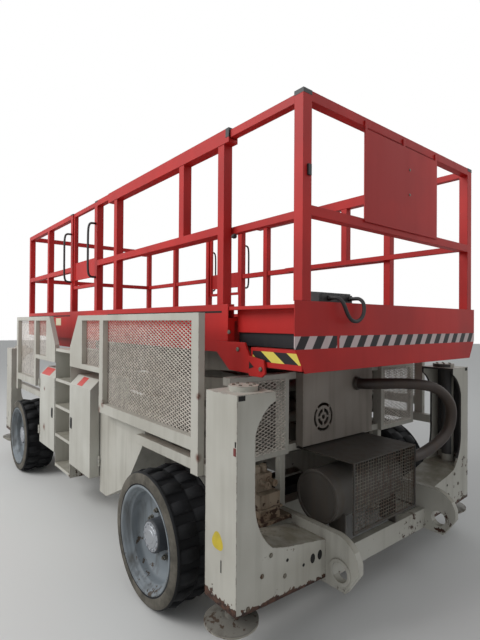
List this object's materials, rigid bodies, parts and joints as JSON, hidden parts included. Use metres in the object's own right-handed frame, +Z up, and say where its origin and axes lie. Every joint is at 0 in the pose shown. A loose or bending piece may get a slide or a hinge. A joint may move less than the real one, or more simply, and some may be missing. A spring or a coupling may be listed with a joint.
{
  "type": "rough-terrain scissor lift",
  "caption": "Rough-terrain scissor lift with stabiliser legs, caged sides and a railed roll-out platform in red over a cream chassis.",
  "frame": {"origin": "on the ground under the centre of the machine's bounding box", "axes": "+X to the rear (engine end), -Y to the machine's left side, +Z up"},
  "size_m": [5.166, 2.51, 2.783],
  "materials": {
    "red_paint": "satin",
    "cream_paint": "satin",
    "tyre_rubber": "matte",
    "wheel_paint": "satin",
    "leg_steel": "satin",
    "chrome_rod": "polished",
    "dark_paint": "matte",
    "axle_paint": "satin"
  },
  "bodies": {
    "chassis": {"chassis_frame": "cream_paint", "rear_axle": "axle_paint", "front_axle": "axle_paint", "engine_cover": "cream_paint", "muffler": "dark_paint", "muffler_guard": "dark_paint", "side_module_left": "cream_paint", "guard_frames_left": "cream_paint", "end_mesh_left": "cream_paint", "column_rear_left": "cream_paint", "guard_mesh_rear_left": "cream_paint", "column_front_left": "cream_paint", "guard_mesh_front_left": "cream_paint", "side_module_right": "cream_paint", "guard_frames_right": "cream_paint", "end_mesh_right": "cream_paint", "column_rear_right": "cream_paint", "guard_mesh_rear_right": "cream_paint", "column_front_right": "cream_paint", "guard_mesh_front_right": "cream_paint"},
    "leg_rear_left": {"leg_rear_left": "leg_steel"},
    "wheel_rear_left": {"wheel_rear_left": "wheel_paint", "tyre_rear_left": "tyre_rubber"},
    "door_rear_left": {"locker_door_rear_left": "cream_paint"},
    "leg_front_left": {"leg_front_left": "leg_steel"},
    "wheel_front_left": {"wheel_front_left": "wheel_paint", "tyre_front_left": "tyre_rubber"},
    "door_front_left": {"locker_door_front_left": "cream_paint"},
    "knuckle_left": {"knuckle_left": "axle_paint"},
    "gate_left": {"gate_left": "red_paint"},
    "leg_rear_right": {"leg_rear_right": "leg_steel"},
    "wheel_rear_right": {"wheel_rear_right": "wheel_paint", "tyre_rear_right": "tyre_rubber"},
    "door_rear_right": {"locker_door_rear_right": "cream_paint"},
    "leg_front_right": {"leg_front_right": "leg_steel"},
    "wheel_front_right": {"wheel_front_right": "wheel_paint", "tyre_front_right": "tyre_rubber"},
    "door_front_right": {"locker_door_front_right": "cream_paint"},
    "knuckle_right": {"knuckle_right": "axle_paint"},
    "gate_right": {"gate_right": "red_paint"},
    "outer_arms_1": {"outer_arms_1": "cream_paint"},
    "inner_arms_1": {"inner_arms_1": "cream_paint"},
    "outer_arms_2": {"outer_arms_2": "cream_paint"},
    "inner_arms_2": {"inner_arms_2": "cream_paint"},
    "outer_arms_3": {"outer_arms_3": "cream_paint"},
    "inner_arms_3": {"inner_arms_3": "cream_paint"},
    "outer_arms_4": {"outer_arms_4": "cream_paint"},
    "inner_arms_4": {"inner_arms_4": "cream_paint"},
    "platform": {"platform_deck": "red_paint", "main_guardrail": "red_paint"},
    "extension": {"extension_deck": "red_paint", "extension_guardrail": "red_paint", "document_panel": "red_paint"},
    "lift_cylinder_barrel": {"lift_cylinder_barrel": "cream_paint"},
    "lift_cylinder_rod": {"lift_cylinder_rod": "chrome_rod"}
  },
  "joints": [
    {"name": "leg_rear_left_slide", "type": "slide", "parent": "chassis", "child": "leg_rear_left", "axis": [0, 0, -1], "range_m": [0, 0.35]},
    {"name": "wheel_rear_left_spin", "type": "hinge", "parent": "chassis", "child": "wheel_rear_left", "pos_m": [1.6, -1.105, 0.39], "axis": [0, 1, 0], "continuous": true},
    {"name": "door_rear_left_hinge", "type": "hinge", "parent": "chassis", "child": "door_rear_left", "pos_m": [0.497, -1.085, 0.8], "axis": [0, 0, 1], "range_deg": [0, 85]},
    {"name": "leg_front_left_slide", "type": "slide", "parent": "chassis", "child": "leg_front_left", "axis": [0, 0, -1], "range_m": [0, 0.35]},
    {"name": "wheel_front_left_spin", "type": "hinge", "parent": "knuckle_left", "child": "wheel_front_left", "pos_m": [-1.42, -1.105, 0.39], "axis": [0, 1, 0], "continuous": true},
    {"name": "door_front_left_hinge", "type": "hinge", "parent": "chassis", "child": "door_front_left", "pos_m": [-0.9195, -1.163, 0.8], "axis": [0, 0, -1], "range_deg": [0, 85]},
    {"name": "steer_left", "type": "hinge", "parent": "chassis", "child": "knuckle_left", "pos_m": [-1.42, -0.88, 0.39], "axis": [0, 0, 1], "range_deg": [-16, 16]},
    {"name": "gate_left_hinge", "type": "hinge", "parent": "platform", "child": "gate_left", "pos_m": [-0.1353, -0.847, 2.4], "axis": [0, 0, -1], "range_deg": [0, 90]},
    {"name": "leg_rear_right_slide", "type": "slide", "parent": "chassis", "child": "leg_rear_right", "axis": [0, 0, -1], "range_m": [0, 0.35]},
    {"name": "wheel_rear_right_spin", "type": "hinge", "parent": "chassis", "child": "wheel_rear_right", "pos_m": [1.6, 1.105, 0.39], "axis": [0, 1, 0], "continuous": true},
    {"name": "door_rear_right_hinge", "type": "hinge", "parent": "chassis", "child": "door_rear_right", "pos_m": [0.497, 1.085, 0.8], "axis": [0, 0, -1], "range_deg": [0, 85]},
    {"name": "leg_front_right_slide", "type": "slide", "parent": "chassis", "child": "leg_front_right", "axis": [0, 0, -1], "range_m": [0, 0.35]},
    {"name": "wheel_front_right_spin", "type": "hinge", "parent": "knuckle_right", "child": "wheel_front_right", "pos_m": [-1.42, 1.105, 0.39], "axis": [0, 1, 0], "continuous": true},
    {"name": "door_front_right_hinge", "type": "hinge", "parent": "chassis", "child": "door_front_right", "pos_m": [-0.9195, 1.163, 0.8], "axis": [0, 0, 1], "range_deg": [0, 85]},
    {"name": "steer_right", "type": "hinge", "parent": "chassis", "child": "knuckle_right", "pos_m": [-1.42, 0.88, 0.39], "axis": [0, 0, 1], "range_deg": [-16, 16]},
    {"name": "gate_right_hinge", "type": "hinge", "parent": "platform", "child": "gate_right", "pos_m": [-0.1353, 0.847, 2.4], "axis": [0, 0, 1], "range_deg": [0, 90]},
    {"name": "lift", "type": "hinge", "parent": "chassis", "child": "inner_arms_1", "pos_m": [1.8, 0, 0.59], "axis": [0, 1, 0], "range_deg": [0, 45]},
    {"name": "outer_arms_1_pivot", "type": "hinge", "parent": "inner_arms_1", "child": "outer_arms_1", "pos_m": [0.00307, 0, 0.695], "axis": [0, -1, 0], "range_deg": [0, 90]},
    {"name": "outer_arms_2_pivot", "type": "hinge", "parent": "inner_arms_1", "child": "outer_arms_2", "pos_m": [-1.79387, 0, 0.8], "axis": [0, -1, 0], "range_deg": [0, 90]},
    {"name": "inner_arms_2_pivot", "type": "hinge", "parent": "outer_arms_2", "child": "inner_arms_2", "pos_m": [0.00307, 0, 0.905], "axis": [0, 1, 0], "range_deg": [0, 90]},
    {"name": "inner_arms_3_pivot", "type": "hinge", "parent": "outer_arms_2", "child": "inner_arms_3", "pos_m": [1.8, 0, 1.01], "axis": [0, 1, 0], "range_deg": [0, 90]},
    {"name": "outer_arms_3_pivot", "type": "hinge", "parent": "inner_arms_3", "child": "outer_arms_3", "pos_m": [0.00307, 0, 1.115], "axis": [0, -1, 0], "range_deg": [0, 90]},
    {"name": "outer_arms_4_pivot", "type": "hinge", "parent": "inner_arms_3", "child": "outer_arms_4", "pos_m": [-1.79387, 0, 1.22], "axis": [0, -1, 0], "range_deg": [0, 90]},
    {"name": "inner_arms_4_pivot", "type": "hinge", "parent": "outer_arms_4", "child": "inner_arms_4", "pos_m": [0.00307, 0, 1.325], "axis": [0, 1, 0], "range_deg": [0, 90]},
    {"name": "platform_pivot", "type": "hinge", "parent": "outer_arms_4", "child": "platform", "pos_m": [1.8, 0, 1.43], "axis": [0, 1, 0], "range_deg": [0, 45]},
    {"name": "cylinder_swing", "type": "hinge", "parent": "chassis", "child": "lift_cylinder_barrel", "pos_m": [1.15, 0, 0.42], "axis": [0, 1, 0], "range_deg": [0, 54.91]},
    {"name": "cylinder_stroke", "type": "slide", "parent": "lift_cylinder_barrel", "child": "lift_cylinder_rod", "axis": [-0.9963, 0, 0.0862], "range_m": [0, 0.3566]},
    {"name": "extension_slide", "type": "slide", "parent": "platform", "child": "extension", "axis": [1, 0, 0], "range_m": [0, 1.2]}
  ],
  "couplings": [
    {"joint": "steer_right", "follows": "steer_left", "ratio": 1},
    {"joint": "outer_arms_1_pivot", "follows": "lift", "ratio": 2},
    {"joint": "outer_arms_2_pivot", "follows": "lift", "ratio": 2},
    {"joint": "inner_arms_2_pivot", "follows": "lift", "ratio": 2},
    {"joint": "inner_arms_3_pivot", "follows": "lift", "ratio": 2},
    {"joint": "outer_arms_3_pivot", "follows": "lift", "ratio": 2},
    {"joint": "outer_arms_4_pivot", "follows": "lift", "ratio": 2},
    {"joint": "inner_arms_4_pivot", "follows": "lift", "ratio": 2},
    {"joint": "platform_pivot", "follows": "lift", "ratio": 1},
    {"joint": "cylinder_swing", "follows": "lift", "ratio": 1.22},
    {"joint": "cylinder_stroke", "follows": "lift", "m_per_rad": 0.4534}
  ]
}
